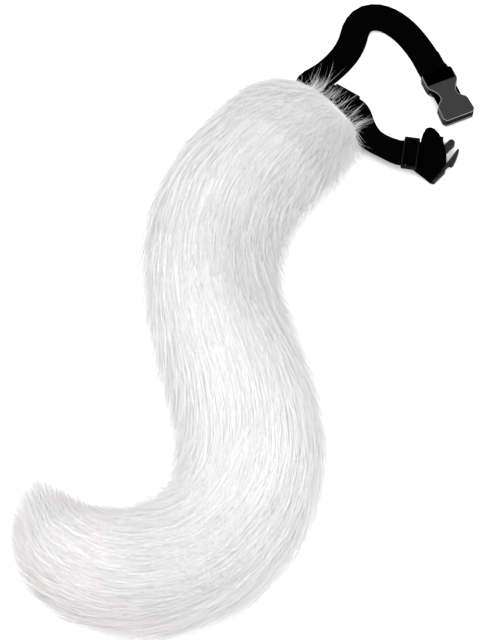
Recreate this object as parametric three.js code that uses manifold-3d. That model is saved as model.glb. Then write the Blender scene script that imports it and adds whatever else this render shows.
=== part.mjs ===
import * as THREE from "three";
import { mergeVertices } from "three/addons/utils/BufferGeometryUtils.js";
import Module from "manifold-3d";

// Costume animal tail: a stuffed long-pile tail lying in an S, hung by a casing on an open
// elastic belt with a side-release buckle. Millimetres, +Z up, floor at z = 0. The origin is
// the middle of the casing's underside, the face that lies against the wearer's back.

// Tail
const TAIL_LENGTH = 610;
const TAIL_WIDTH = 116;
const TAIL_HEIGHT = 78;
const ROOT_SETBACK = 12;
const LOCK_LENGTH = 88;
const LOCK_WIDTH = 34;
const LOCK_THICKNESS = 9;
const LOCK_LIFT = 5;
const LOCK_SPACING = 55;
const LOCK_PROBE = 4;
const BRUSH_LENGTH = 40;
const BRUSH_LIFT = 5;
const BRUSH_ROUND = 0.3;
const TUFT_LENGTH = 17;
const TUFT_DIP = 9;

// Belt webbing and the casing that holds it
const WEB_WIDTH = 25;
const WEB_THICKNESS = 1.5;
const CLEARANCE = 0.3;
const UPPER_RUN = 171;
const LOWER_RUN = 72;
const FOLD_RADIUS = 1.2;
const FOLD_CORNER = 9;
const FOLD_BACK = 34;
const CASING_HEADING = -33;
const CASING_LENGTH = 24;
const CASING_WALL = 1.2;
const CASING_SLACK = 0.4;
const TONGUE_LENGTH = 22;
const TONGUE_WIDTH = 18;
const CASING_LEAD = 2;
const BELT_ROOM = 2;

// Buckle socket
const SOCKET_PLATE = 38.5;
const SOCKET_THICKNESS = 10;
const SOCKET_SKIN = 1.9;
const SOCKET_MOUTH = 30;
const SOCKET_WAIST = 16;
const SOCKET_RAIL = 11.5;
const SOCKET_RIB = 1.7;
const SOCKET_CORNER = 3.2;
const SOCKET_NICK = 1.5;

// Buckle prongs
const PRONG_BODY = 16;
const PRONG_PLATE = 5.6;
const PRONG_REACH = 23.5;
const PRONG_ARM = 3.2;
const PRONG_GUIDE = 6;
const PRONG_FIT = 0.5;
const PRONG_BARB = 2.4;
const REAR_NICK = 1.2;
const SHOULDER_NICK = 1;
const BAR_THICKNESS = 2.4;
const BAR_DEPTH = 2.6;
const BAR_SLOT = 4.4;
const RAIL = 1.9;

// Slider
const SLIDER_BAR = 1.5;
const SLIDER_TAB = 2;

// Headings are degrees anticlockwise from +X. `at` is a share of TAIL_LENGTH from the root,
// `width` a share of TAIL_WIDTH and `height` a share of TAIL_HEIGHT. The brush of pile at the
// tip reaches past the last section by BRUSH_LENGTH.
const TAIL_SECTIONS = [
  { at: 0, heading: 226, width: 0.56, height: 0.36 },
  { at: 0.03, heading: 222, width: 0.77, height: 0.61 },
  { at: 0.068, heading: 220, width: 0.93, height: 0.80 },
  { at: 0.127, heading: 229, width: 1.03, height: 0.92 },
  { at: 0.195, heading: 236, width: 1.04, height: 0.97 },
  { at: 0.25, heading: 250, width: 1.01, height: 1.00 },
  { at: 0.302, heading: 263, width: 0.96, height: 1.00 },
  { at: 0.353, heading: 273, width: 0.93, height: 1.00 },
  { at: 0.403, heading: 284, width: 0.93, height: 1.00 },
  { at: 0.477, heading: 289, width: 0.96, height: 1.00 },
  { at: 0.558, heading: 281, width: 0.99, height: 1.00 },
  { at: 0.62, heading: 269, width: 1.00, height: 1.00 },
  { at: 0.676, heading: 249, width: 0.98, height: 1.00 },
  { at: 0.725, heading: 229, width: 0.95, height: 0.98 },
  { at: 0.79, heading: 205, width: 0.92, height: 0.96 },
  { at: 0.854, heading: 181, width: 0.90, height: 0.92 },
  { at: 0.9, heading: 160, width: 0.86, height: 0.87 },
  { at: 0.93, heading: 147, width: 0.79, height: 0.81 },
  { at: 0.953, heading: 137, width: 0.72, height: 0.74 },
  { at: 0.976, heading: 127, width: 0.62, height: 0.64 },
  { at: 1, heading: 114, width: 0.47, height: 0.49 },
];

// Belt route from the casing. `at` is a share of the run's length, `lift` and `bank` raise
// the webbing and its left edge. The upper run starts after the turn beside the casing.
const UPPER_ROUTE = [
  { at: 0.0, heading: 40, lift: 0, bank: 0 },
  { at: 0.15, heading: 54, lift: 0, bank: 0 },
  { at: 0.29, heading: 78, lift: 0.02, bank: 3 },
  { at: 0.36, heading: 51, lift: 0.05, bank: 7 },
  { at: 0.41, heading: 18, lift: 0.08, bank: 10 },
  { at: 0.47, heading: -9, lift: 0.08, bank: 10 },
  { at: 0.55, heading: -33, lift: 0.05, bank: 7 },
  { at: 0.65, heading: -50, lift: 0.02, bank: 3 },
  { at: 0.74, heading: -58, lift: 0, bank: 0 },
  { at: 0.85, heading: -68, lift: 0, bank: 0 },
  { at: 1.0, heading: -67, lift: 0, bank: 0 },
];
const LOWER_ROUTE = [
  { at: 0.0, heading: -48, bank: 0 },
  { at: 0.12, heading: -76, bank: 0 },
  { at: 0.3, heading: -66, bank: -5 },
  { at: 0.5, heading: -43, bank: -12 },
  { at: 0.68, heading: -35, bank: -12 },
  { at: 0.8, heading: -34, bank: -6 },
  { at: 0.9, heading: -16, bank: 0 },
  { at: 1.0, heading: -9, bank: 0 },
];

// The adjusting loop between slider and prongs, in the slider's frame. Lengths are shares of
// WEB_WIDTH, `sweep` turns the webbing's cross line and `bank` lifts its outer edge.
const LOOP_ROUTE = [
  { ahead: 0.32, aside: 0.02, rise: 0.0, sweep: 0, bank: 2 },
  { ahead: 0.34, aside: 0.24, rise: 0.08, sweep: -2, bank: 16 },
  { ahead: 0.37, aside: 0.46, rise: 0.18, sweep: -12, bank: 30 },
  { ahead: 0.46, aside: 0.54, rise: 0.22, sweep: -42, bank: 38 },
  { ahead: 0.66, aside: 0.32, rise: 0.14, sweep: -78, bank: 28 },
  { ahead: 0.8, aside: 0.02, rise: -0.02, sweep: -110, bank: 6 },
];
const PRONGS_AT = { ahead: 0.48, aside: -0.46, turn: 56 };

// Over the slider's middle bar: `along` is a share of the reach to its outer bars and `up` a
// share of the climb over the hooked end.
const WEAVE_ROUTE = [
  { along: -1.35, up: 0 },
  { along: -1.1, up: 0.06 },
  { along: -1.0, up: 0.28 },
  { along: -1.0, up: 0.64 },
  { along: -0.87, up: 0.89 },
  { along: -0.64, up: 1 },
  { along: 0.19, up: 1 },
  { along: 0.64, up: 0.86 },
  { along: 0.79, up: 0.58 },
  { along: 0.85, up: 0.28 },
  { along: 0.97, up: 0.06 },
  { along: 1.35, up: 0 },
  { along: 1.92, up: 0 },
];

// Down to the prongs' bar and back up behind it: `behind` is a share of BAR_SLOT from the bar
// and `up` a share of the climb.
const BAR_DESCENT = [
  { behind: 1.68, up: 1 },
  { behind: 1.07, up: 1 },
  { behind: 0.66, up: 0.87 },
  { behind: 0.33, up: 0.48 },
  { behind: 0.02, up: 0.16 },
];
const BAR_RETURN = [
  { behind: 0, up: 0 },
  { behind: 0.22, up: 0.1 },
  { behind: 0.28, up: 0.34 },
  { behind: 0.375, up: 0.6 },
  { behind: 0.61, up: 0.845 },
  { behind: 0.93, up: 0.98 },
  { behind: 1.68, up: 1 },
];

// How finely things are drawn
const SPINE_STEPS = 160;
const SECTION_SIDES = 18;
const SECTION_COUNT = 31;
const LOCK_SIDES = 4;
const LOCK_STEPS = 3;
const BRUSH_LOCKS = 12;
const BRUSH_RINGS = 2;
const TUFT_LOCKS = 8;
const TURN_STEPS = 9;
const UPPER_STEPS = 32;
const LOWER_STEPS = 20;
const LOOP_STEPS = 12;
const WRAP_STEPS = 8;

const wasm = await Module();
wasm.setup();

const rad = THREE.MathUtils.degToRad;
const flatWay = (heading) => new THREE.Vector3(Math.cos(rad(heading)), Math.sin(rad(heading)), 0);
const leftOf = (heading) => new THREE.Vector3(-Math.sin(rad(heading)), Math.cos(rad(heading)), 0);
const UP = new THREE.Vector3(0, 0, 1);

// A geometry as a solid that can be joined and cut, and back again
function solid(geometry) {
  const bare = geometry.clone();
  bare.deleteAttribute("normal");
  bare.deleteAttribute("uv");
  const merged = mergeVertices(bare, 1e-4);
  return new wasm.Manifold(new wasm.Mesh({
    numProp: 3,
    vertProperties: new Float32Array(merged.attributes.position.array),
    triVerts: new Uint32Array(merged.index.array),
  }));
}

function geometryOf(body) {
  const mesh = body.getMesh();
  const geometry = new THREE.BufferGeometry();
  const corners = new Float32Array(mesh.vertProperties);
  geometry.setAttribute("position", new THREE.BufferAttribute(corners, 3));
  geometry.setIndex(new THREE.BufferAttribute(new Uint32Array(mesh.triVerts), 1));
  geometry.computeVertexNormals();
  return geometry;
}

// Value of one column of a table at a share of the way, straight between its rows
function column(rows, at, name) {
  let row = 0;
  while (row < rows.length - 2 && rows[row + 1].at < at) {
    row += 1;
  }
  const from = rows[row];
  const to = rows[row + 1];
  const share = THREE.MathUtils.clamp((at - from.at) / (to.at - from.at), 0, 1);
  return THREE.MathUtils.lerp(from[name], to[name], share);
}

// The same on a smooth curve through the rows, which are taken as evenly spaced
function curved(rows, share, name) {
  const place = THREE.MathUtils.clamp(share, 0, 1) * (rows.length - 1);
  const row = Math.min(Math.floor(place), rows.length - 2);
  const t = place - row;
  const [a, b, c, d] = [row - 1, row, row + 1, row + 2].map((i) => (
    rows[THREE.MathUtils.clamp(i, 0, rows.length - 1)][name]));
  return b + 0.5 * t * (c - a + t * (2 * a - 5 * b + 4 * c - d + t * (3 * (b - c) + d - a)));
}

// Walks a table of headings and gives the points reached
function walk(rows, length, start, steps) {
  const points = [start.clone()];
  const here = start.clone();
  for (let i = 0; i < steps; i += 1) {
    const heading = column(rows, (i + 0.5) / steps, "heading");
    here.addScaledVector(flatWay(heading), length / steps);
    points.push(here.clone());
  }
  return points;
}

function pointOn(points, share) {
  const place = THREE.MathUtils.clamp(share, 0, 1) * (points.length - 1);
  const index = Math.min(Math.floor(place), points.length - 2);
  return points[index].clone().lerp(points[index + 1], place - index);
}

// A closed body through rings of equal point count, capped flat at both ends
function loft(rings) {
  const sides = rings[0].length;
  const positions = [];
  for (const ring of rings) {
    for (const p of ring) {
      positions.push(p.x, p.y, p.z);
    }
  }
  const index = [];
  for (let i = 0; i < rings.length - 1; i += 1) {
    for (let j = 0; j < sides; j += 1) {
      const a = i * sides + j;
      const b = i * sides + (j + 1) % sides;
      index.push(a, b, b + sides, a, b + sides, a + sides);
    }
  }
  const last = (rings.length - 1) * sides;
  for (let j = 1; j < sides - 1; j += 1) {
    index.push(0, j + 1, j, last, last + j, last + j + 1);
  }
  const geometry = new THREE.BufferGeometry();
  geometry.setAttribute("position", new THREE.Float32BufferAttribute(positions, 3));
  geometry.setIndex(index);
  return geometry;
}

// Tail core. BELLY is the height of the widest line as a share of the section's height,
// SQUASH how far the underside would reach below the floor.
const BELLY = 0.42;
const SQUASH = 1.3;
const CORE_SHRINK = 0.95;
const rootStart = flatWay(CASING_HEADING - 90).multiplyScalar(ROOT_SETBACK);
const spine = walk(TAIL_SECTIONS, TAIL_LENGTH, rootStart, SPINE_STEPS);

// A point of the fur's surface: share along the tail, angle round it, distance proud of it
function furPoint(at, angle, proud) {
  const inside = THREE.MathUtils.clamp(at, 0, 1);
  const heading = column(TAIL_SECTIONS, inside, "heading");
  const half = column(TAIL_SECTIONS, inside, "width") * TAIL_WIDTH * CORE_SHRINK / 2 + proud;
  const height = column(TAIL_SECTIONS, inside, "height") * TAIL_HEIGHT * CORE_SHRINK;
  const rise = Math.sin(angle);
  const middle = height * BELLY;
  const reach = rise > 0 ? height - middle + proud : middle * SQUASH + proud;
  const centre = pointOn(spine, inside);
  centre.addScaledVector(flatWay(heading), (at - inside) * TAIL_LENGTH);
  centre.addScaledVector(leftOf(heading), half * Math.cos(angle));
  centre.z = middle + reach * rise;
  return centre;
}

// The section with its underside pressed flat on the floor
function sectionRing(at) {
  const ring = [];
  for (let j = 0; j < SECTION_SIDES; j += 1) {
    const p = furPoint(at, 2 * Math.PI * j / SECTION_SIDES, 0);
    p.z = Math.max(0, p.z);
    ring.push(p);
  }
  return ring;
}

// One lock: a flat tapering wisp that leaves the surface as it runs tailwards
function lock({ at, angle, length, width, thickness, lift, drift, way = 1 }) {
  const rings = [];
  for (let k = 0; k <= LOCK_STEPS; k += 1) {
    const share = k / LOCK_STEPS;
    const along = at + way * share * length / TAIL_LENGTH;
    const around = angle + drift * share * share;
    const proud = lift * share ** 2 - thickness * 0.5 * (1 - share);
    const centre = furPoint(along, around, proud);
    const ahead = furPoint(along + way * 0.004, around, proud).sub(centre).normalize();
    const out = furPoint(along, around, proud + LOCK_PROBE).sub(centre).normalize();
    const side = new THREE.Vector3().crossVectors(out, ahead).normalize();
    const taper = Math.cos(share * Math.PI / 2 * 0.94) ** 0.8;
    const ring = [];
    for (let j = 0; j < LOCK_SIDES; j += 1) {
      const turn = 2 * Math.PI * j / LOCK_SIDES + Math.PI / 2;
      ring.push(centre.clone()
        .addScaledVector(side, Math.cos(turn) * width * taper / 2)
        .addScaledVector(out, Math.sin(turn) * thickness * taper / 2));
    }
    rings.push(ring);
  }
  return solid(loft(rings));
}

function tailFur(belts) {
  const rings = [];
  for (let i = 0; i <= SECTION_COUNT; i += 1) {
    rings.push(sectionRing(i / SECTION_COUNT));
  }
  const core = solid(loft(rings));
  const locks = [];
  const rows = Math.max(4, Math.round(TAIL_LENGTH * 0.9 / LOCK_SPACING));
  const across = Math.max(5, Math.round(Math.PI * TAIL_WIDTH * 0.58 / LOCK_WIDTH));
  for (let row = 0; row < rows; row += 1) {
    for (let j = 0; j <= across; j += 1) {
      const wave = Math.sin(row * 2.4 + j * 1.7);
      const stagger = (j + (row % 2) * 0.5) / (across + 0.5);
      locks.push(lock({
        at: 0.02 + 0.9 * (row + 0.3 * wave) / rows,
        angle: Math.PI * (-0.06 + 1.12 * stagger),
        length: LOCK_LENGTH * (1 + 0.15 * wave),
        width: LOCK_WIDTH,
        thickness: LOCK_THICKNESS,
        lift: LOCK_LIFT * (1 + 0.5 * Math.sin(row * 1.3 + j * 2.9)),
        drift: 0.09 * Math.sin(row * 1.1 + j * 0.8),
      }));
    }
  }
  // the brush at the tip, its locks spreading past the last section
  for (let ring = 0; ring < BRUSH_RINGS; ring += 1) {
    for (let j = 0; j < BRUSH_LOCKS; j += 1) {
      const wave = Math.sin(j * 2.1 + ring * 1.4);
      const angle = 2 * Math.PI * (j + 0.5 * ring) / BRUSH_LOCKS;
      locks.push(lock({
        at: 1 - 0.037 * (ring + 1),
        angle,
        length: BRUSH_LENGTH * (1.1 + 0.2 * wave) * (1 - BRUSH_ROUND * Math.cos(angle) ** 2),
        width: LOCK_WIDTH * 0.7,
        thickness: LOCK_THICKNESS,
        lift: BRUSH_LIFT * (ring + 0.4),
        drift: 0.1 * wave,
      }));
    }
  }
  // short tufts that lean over the belt from the root
  for (let j = 0; j < TUFT_LOCKS; j += 1) {
    locks.push(lock({
      at: 0.023,
      angle: Math.PI * (0.08 + 0.84 * j / (TUFT_LOCKS - 1)),
      length: TUFT_LENGTH * (1 + 0.3 * Math.sin(j * 2.3)),
      width: LOCK_WIDTH * 0.5,
      thickness: LOCK_THICKNESS * 0.8,
      lift: -TUFT_DIP,
      drift: 0,
      way: -1,
    }));
  }
  const size = 4 * (TAIL_LENGTH + TAIL_WIDTH);
  const depth = 2 * TAIL_HEIGHT;
  const floor = new THREE.BoxGeometry(size, size, depth);
  floor.translate(0, 0, -depth / 2);
  let fur = wasm.Manifold.union([core, ...locks]).subtract(solid(floor));
  for (const room of belts) {
    fur = fur.subtract(room);
  }
  const pieces = fur.decompose().sort((a, b) => b.volume() - a.volume());
  return geometryOf(pieces[0]);
}

// A station of the belt: a place on the floor, the cross line of the webbing and its height
function station(point, heading, bank, height, stack = 0) {
  const left = leftOf(heading);
  const tilt = rad(bank);
  const across = left.clone().multiplyScalar(Math.cos(tilt)).addScaledVector(UP, Math.sin(tilt));
  const up = UP.clone().multiplyScalar(Math.cos(tilt)).addScaledVector(left, -Math.sin(tilt));
  const centre = point.clone().addScaledVector(UP, height).addScaledVector(up, stack);
  return { centre, across, up };
}

// Ribbon through stations, its thickness square to the cross line and to the way it runs
function ribbon(stations, width, thickness) {
  const rings = stations.map((s, i) => {
    const before = stations[Math.max(0, i - 1)].centre;
    const after = stations[Math.min(stations.length - 1, i + 1)].centre;
    const ahead = after.clone().sub(before).normalize();
    const deep = new THREE.Vector3().crossVectors(ahead, s.across).setLength(thickness / 2);
    const half = s.across.clone().multiplyScalar(width / 2);
    const left = s.centre.clone().add(half);
    const right = s.centre.clone().sub(half);
    if (s.corner) {
      const outer = s.corner.dot(half) > 0 ? left : right;
      outer.add(s.corner);
    }
    return [left.clone().add(deep), right.clone().add(deep), right.sub(deep), left.sub(deep)];
  });
  return loft(rings);
}

// Stations beside a bar, from rows of how far along the webbing's way and how high
function beside(origin, heading, rows) {
  return rows.map(([along, height]) => (
    station(origin.clone().addScaledVector(flatWay(heading), along), heading, 0, height)));
}

// Half a turn of webbing round a bar, from its top to its underside
function wrap(centre, reach, side, steps) {
  const rows = [];
  for (let i = 0; i <= steps; i += 1) {
    const turn = Math.PI * (0.5 - i / steps);
    rows.push([centre[0] + side * reach[0] * Math.cos(turn), centre[1] + reach[1] * Math.sin(turn)]);
  }
  return rows;
}

const flip = (s) => ({ ...s, across: s.across.clone().negate() });

const onFloor = WEB_THICKNESS / 2;
const inCasing = CASING_WALL + CASING_SLACK + WEB_THICKNESS / 2;
const ply = WEB_THICKNESS + CLEARANCE;
const casingReach = CASING_LENGTH / 2 + CASING_LEAD;
const origin = new THREE.Vector3();

// Upper run, casing to socket
function upperStations() {
  const stations = [];
  const from = CASING_HEADING + 180;
  const turned = from - UPPER_ROUTE[0].heading;
  const radius = WEB_WIDTH / 2 + FOLD_RADIUS;
  const stride = radius * rad(turned) / TURN_STEPS;
  const here = flatWay(from).multiplyScalar(casingReach);
  for (let i = 0; i <= TURN_STEPS; i += 1) {
    const share = i / TURN_STEPS;
    if (i > 0) {
      here.addScaledVector(flatWay(from - turned * (share - 0.5 / TURN_STEPS)), stride);
    }
    const height = THREE.MathUtils.lerp(inCasing, onFloor, share);
    const heading = from - turned * share;
    const corner = leftOf(heading).multiplyScalar(FOLD_CORNER * Math.sin(Math.PI * share) ** 2);
    stations.push({ ...station(here, heading, 0, height), corner });
  }
  const points = walk(UPPER_ROUTE, UPPER_RUN, here, UPPER_STEPS);
  for (let i = 1; i <= UPPER_STEPS; i += 1) {
    const at = i / UPPER_STEPS;
    const bank = column(UPPER_ROUTE, at, "bank");
    const edge = Math.abs(Math.sin(rad(bank))) * WEB_WIDTH / 2;
    const height = onFloor + edge + column(UPPER_ROUTE, at, "lift") * WEB_WIDTH;
    stations.push(station(points[i], column(UPPER_ROUTE, at, "heading"), bank, height));
  }
  return { stations, end: points.at(-1) };
}

const upper = upperStations();
const socketHeading = UPPER_ROUTE.at(-1).heading;
const socketBarMiddle = -(SOCKET_RAIL - BAR_DEPTH / 2);
const barHold = BAR_THICKNESS / 2 + CLEARANCE + WEB_THICKNESS / 2;

// The webbing's end: sewn back on the run, over the socket's bar and under it again
function socketEnd() {
  const reverse = [...upper.stations].reverse();
  const spacing = UPPER_RUN / UPPER_STEPS;
  const lead = 2 * WEB_THICKNESS;
  const first = Math.ceil((SOCKET_RAIL + 2.5 * lead) / spacing);
  const last = Math.max(first + 1, Math.round(FOLD_BACK / spacing));
  const sewn = [];
  for (let i = last; i >= first; i -= 1) {
    sewn.push({ ...reverse[i], centre: reverse[i].centre.clone().addScaledVector(reverse[i].up, ply) });
  }
  const middle = SOCKET_THICKNESS / 2;
  const front = -(1.5 * CLEARANCE + WEB_THICKNESS / 2 + barHold);
  const rows = [
    [-SOCKET_RAIL - lead, middle + barHold * 0.72],
    [-SOCKET_RAIL, middle + barHold],
    [(socketBarMiddle + front) / 2, middle + barHold],
    ...wrap([front, middle], [barHold, barHold], 1, WRAP_STEPS),
    [(socketBarMiddle + front) / 2, middle - barHold],
    [-SOCKET_RAIL, middle - barHold],
    [-SOCKET_RAIL - lead, middle - barHold * 1.15],
  ];
  return [...sewn, ...beside(upper.end, socketHeading, rows), ...reverse.slice(first)].map(flip);
}

// Heights of the plies, from the plate of the prongs up to the slider's middle bar
const returnPly = PRONG_PLATE + CLEARANCE + WEB_THICKNESS / 2;
const outerPly = returnPly + ply;
const innerLoop = outerPly + ply;
const mainLoop = innerLoop + ply;
const hookTop = mainLoop + (SLIDER_BAR + WEB_THICKNESS) / 2 + CLEARANCE;
const weaveTop = hookTop + ply;
const sliderPitch = SLIDER_BAR + 2 * WEB_THICKNESS + 5 * CLEARANCE;

const lowerPoints = walk(LOWER_ROUTE, LOWER_RUN, flatWay(CASING_HEADING).multiplyScalar(casingReach), 40);
const sliderAt = lowerPoints.at(-1);
const sliderHeading = LOWER_ROUTE.at(-1).heading;
const prongHeading = sliderHeading + PRONGS_AT.turn;
const barAt = besideSlider(PRONGS_AT);

function besideSlider({ ahead, aside }) {
  return sliderAt.clone()
    .addScaledVector(flatWay(sliderHeading), ahead * WEB_WIDTH)
    .addScaledVector(leftOf(sliderHeading), aside * WEB_WIDTH);
}

function lowerStations() {
  const stations = [];
  const stop = 1 - (sliderPitch + SLIDER_BAR * 2) / LOWER_RUN;
  for (let i = 0; i <= LOWER_STEPS; i += 1) {
    const at = stop * i / LOWER_STEPS;
    const rise = THREE.MathUtils.smoothstep(at, 0.42, 1.0);
    const sink = 1 - THREE.MathUtils.smoothstep(at, 0, 0.25);
    const bank = column(LOWER_ROUTE, at, "bank");
    const edge = Math.abs(Math.sin(rad(bank))) * WEB_WIDTH / 2;
    const flat = onFloor + edge + (inCasing - onFloor) * sink;
    const height = THREE.MathUtils.lerp(flat, mainLoop, rise);
    stations.push(station(pointOn(lowerPoints, at), column(LOWER_ROUTE, at, "heading"), bank, height));
  }
  return stations;
}

// Over the slider's middle bar, round the webbing's own end that is hooked on it
function sliderWeave() {
  const reach = sliderPitch - SLIDER_BAR / 2 - 2 * CLEARANCE - WEB_THICKNESS / 2;
  const climb = weaveTop - mainLoop;
  const rows = WEAVE_ROUTE.map(({ along, up }) => [along * reach, mainLoop + up * climb]);
  return beside(sliderAt, sliderHeading, rows);
}

function loopStations(stack) {
  const stations = [];
  for (let i = 0; i <= LOOP_STEPS; i += 1) {
    const part = (name) => curved(LOOP_ROUTE, i / LOOP_STEPS, name);
    const place = besideSlider({ ahead: part("ahead"), aside: part("aside") });
    const height = innerLoop + part("rise") * WEB_WIDTH;
    stations.push(station(place, sliderHeading + part("sweep"), part("bank"), height, stack));
  }
  return stations;
}

// Round the bar of the prongs and back up through their slot
const barMiddle = PRONG_PLATE / 2 + CLEARANCE;
function prongEnd() {
  const reach = BAR_DEPTH / 2 + CLEARANCE + WEB_THICKNESS / 2;
  const over = barMiddle + barHold;
  const under = barMiddle - barHold;
  const behind = (row) => -BAR_DEPTH / 2 - row.behind * BAR_SLOT;
  const rows = [
    ...BAR_DESCENT.map((row) => [behind(row), over + row.up * (outerPly - over)]),
    ...wrap([0, barMiddle], [reach, barHold], 1, WRAP_STEPS),
    ...BAR_RETURN.map((row) => [behind(row), under + row.up * (returnPly - under)]),
  ];
  return beside(barAt, prongHeading + 180, rows);
}

function sliderHook() {
  const reach = [WEB_THICKNESS / 2 + CLEARANCE, (hookTop - innerLoop) / 2];
  const centre = [-SLIDER_BAR / 2, (hookTop + innerLoop) / 2];
  const round = wrap(centre, reach, -1, WRAP_STEPS).reverse();
  return beside(sliderAt, sliderHeading, [[SLIDER_BAR, innerLoop], ...round, [SLIDER_BAR / 2, hookTop]]);
}

function beltStations() {
  const inside = [[-casingReach / 2, inCasing], [casingReach / 2, inCasing]];
  const through = beside(origin, CASING_HEADING, inside);
  return [
    ...socketEnd(),
    ...through,
    ...lowerStations(),
    ...sliderWeave(),
    ...loopStations(ply),
    ...prongEnd(),
    ...loopStations(0).reverse(),
    ...sliderHook(),
  ];
}

// Room that the belt takes under the root's fur, open downwards
function beltRoom() {
  const near = [...upper.stations.slice(0, TURN_STEPS + 12)].reverse().map(flip);
  const through = beside(origin, CASING_HEADING, [[0, inCasing]]);
  const stations = [...near, ...through, ...lowerStations().slice(0, 12)].map((s) => {
    const top = s.centre.z + WEB_THICKNESS / 2 + 4 * CLEARANCE;
    const across = s.across.clone().setZ(0).normalize();
    return { across, centre: s.centre.clone(), corner: s.corner, top };
  });
  const tallest = Math.max(...stations.map((s) => s.top));
  for (const s of stations) {
    s.centre.z = s.top - (tallest + BELT_ROOM) / 2;
  }
  return solid(ribbon(stations, WEB_WIDTH + 6 * CLEARANCE, tallest + BELT_ROOM));
}

function block(x0, x1, y0, y1, z0, z1) {
  const box = new THREE.BoxGeometry(x1 - x0, y1 - y0, z1 - z0);
  box.translate((x0 + x1) / 2, (y0 + y1) / 2, (z0 + z1) / 2);
  return solid(box);
}

function extruded(points, z0, z1) {
  const shape = new THREE.Shape(points.map(([x, y]) => new THREE.Vector2(x, y)));
  const geometry = new THREE.ExtrudeGeometry(shape, { depth: z1 - z0, bevelEnabled: false });
  geometry.translate(0, 0, z0);
  return solid(geometry);
}

// A bar with worn corners, its length along Y
function bar(x0, x1, z0, z1, half) {
  const worn = Math.min(x1 - x0, z1 - z0) * 0.3;
  const outline = [
    [x0 + worn, z0], [x1 - worn, z0], [x1, z0 + worn], [x1, z1 - worn],
    [x1 - worn, z1], [x0 + worn, z1], [x0, z1 - worn], [x0, z0 + worn],
  ];
  return extruded(outline, -half, half).rotate([90, 0, 0]);
}

// Fabric casing: a sewn sleeve round the belt with a tongue that runs under the tail
const casingHalf = WEB_WIDTH / 2 + CASING_SLACK + CASING_WALL;
const casingHeight = 2 * (CASING_WALL + CASING_SLACK) + WEB_THICKNESS;
function casing(grow = 0) {
  const half = CASING_LENGTH / 2 + grow;
  const top = casingHeight + grow;
  const sleeve = block(-half, half, -casingHalf - grow, casingHalf + grow, -grow, top);
  const tongueHalf = TONGUE_WIDTH / 2 + grow;
  const tongueEnd = -casingHalf - TONGUE_LENGTH - grow;
  const tongue = block(-tongueHalf, tongueHalf, tongueEnd, -casingHalf + 1, -grow, CASING_WALL + grow);
  const whole = sleeve.add(tongue);
  if (grow > 0) {
    return whole;
  }
  const hole = WEB_WIDTH / 2 + CASING_SLACK;
  const ceiling = casingHeight - CASING_WALL;
  return whole.subtract(block(-half - 1, half + 1, -hole, hole, CASING_WALL, ceiling));
}

// Slider: a frame with a middle bar lower than its two outer bars
function slider() {
  const ends = WEB_WIDTH / 2 + 2 * CLEARANCE;
  const out = ends + SLIDER_TAB;
  const long = sliderPitch + SLIDER_BAR / 2;
  const low = mainLoop - WEB_THICKNESS / 2;
  const barLow = mainLoop + WEB_THICKNESS / 2 + CLEARANCE;
  const high = barLow + SLIDER_BAR;
  const corner = SLIDER_TAB * 0.45;
  const outline = [
    [-long + corner, -out], [long - corner, -out], [long, -out + corner], [long, out - corner],
    [long - corner, out], [-long + corner, out], [-long, out - corner], [-long, -out + corner],
  ];
  let frame = extruded(outline, low, high);
  frame = frame.subtract(block(-long - 1, long + 1, -ends, ends, low - 1, high + 1));
  for (const side of [-1, 1]) {
    const at = side * sliderPitch;
    frame = frame.add(bar(at - SLIDER_BAR / 2, at + SLIDER_BAR / 2, barLow, high, ends + 1));
  }
  return frame.add(bar(-SLIDER_BAR / 2, SLIDER_BAR / 2, low, low + SLIDER_BAR, ends + 1));
}

// Half outline of the socket from the bar end to the mouth, waisted where it is pressed
const railHalf = WEB_WIDTH / 2 + CLEARANCE + SOCKET_RIB;
function socketOutline() {
  const mouth = SOCKET_MOUTH / 2;
  const waist = SOCKET_WAIST / 2;
  const path = new THREE.Path();
  path.moveTo(-SOCKET_RAIL, railHalf - SOCKET_NICK);
  path.lineTo(-SOCKET_RAIL + SOCKET_NICK, railHalf);
  path.lineTo(0, railHalf);
  const at = (share) => SOCKET_PLATE * share;
  path.bezierCurveTo(at(0.15), railHalf, at(0.18), waist, at(0.37), waist);
  path.bezierCurveTo(at(0.52), waist, at(0.48), mouth - 1, at(0.64), mouth - 0.6);
  path.lineTo(SOCKET_PLATE - SOCKET_CORNER, mouth);
  path.lineTo(SOCKET_PLATE, mouth - SOCKET_CORNER * 0.7);
  const side = path.getPoints(8).map((p) => [p.x, p.y]);
  return [...side, ...side.map(([x, y]) => [x, -y]).reverse()].reverse();
}

const cavityHalf = SOCKET_MOUTH / 2 - SOCKET_RIB;
function socket() {
  const hole = WEB_WIDTH / 2 + CLEARANCE;
  const low = SOCKET_THICKNESS / 2 - BAR_THICKNESS / 2;
  const roof = SOCKET_THICKNESS - SOCKET_SKIN;
  return extruded(socketOutline(), 0, SOCKET_THICKNESS)
    .subtract(block(SOCKET_RIB * 2, SOCKET_PLATE + 1, -cavityHalf, cavityHalf, SOCKET_SKIN, roof))
    .subtract(block(-SOCKET_RAIL - 1, 0, -hole, hole, -1, SOCKET_THICKNESS + 1))
    .add(bar(-SOCKET_RAIL, -SOCKET_RAIL + BAR_DEPTH, low, low + BAR_THICKNESS, hole + 1));
}

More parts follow.
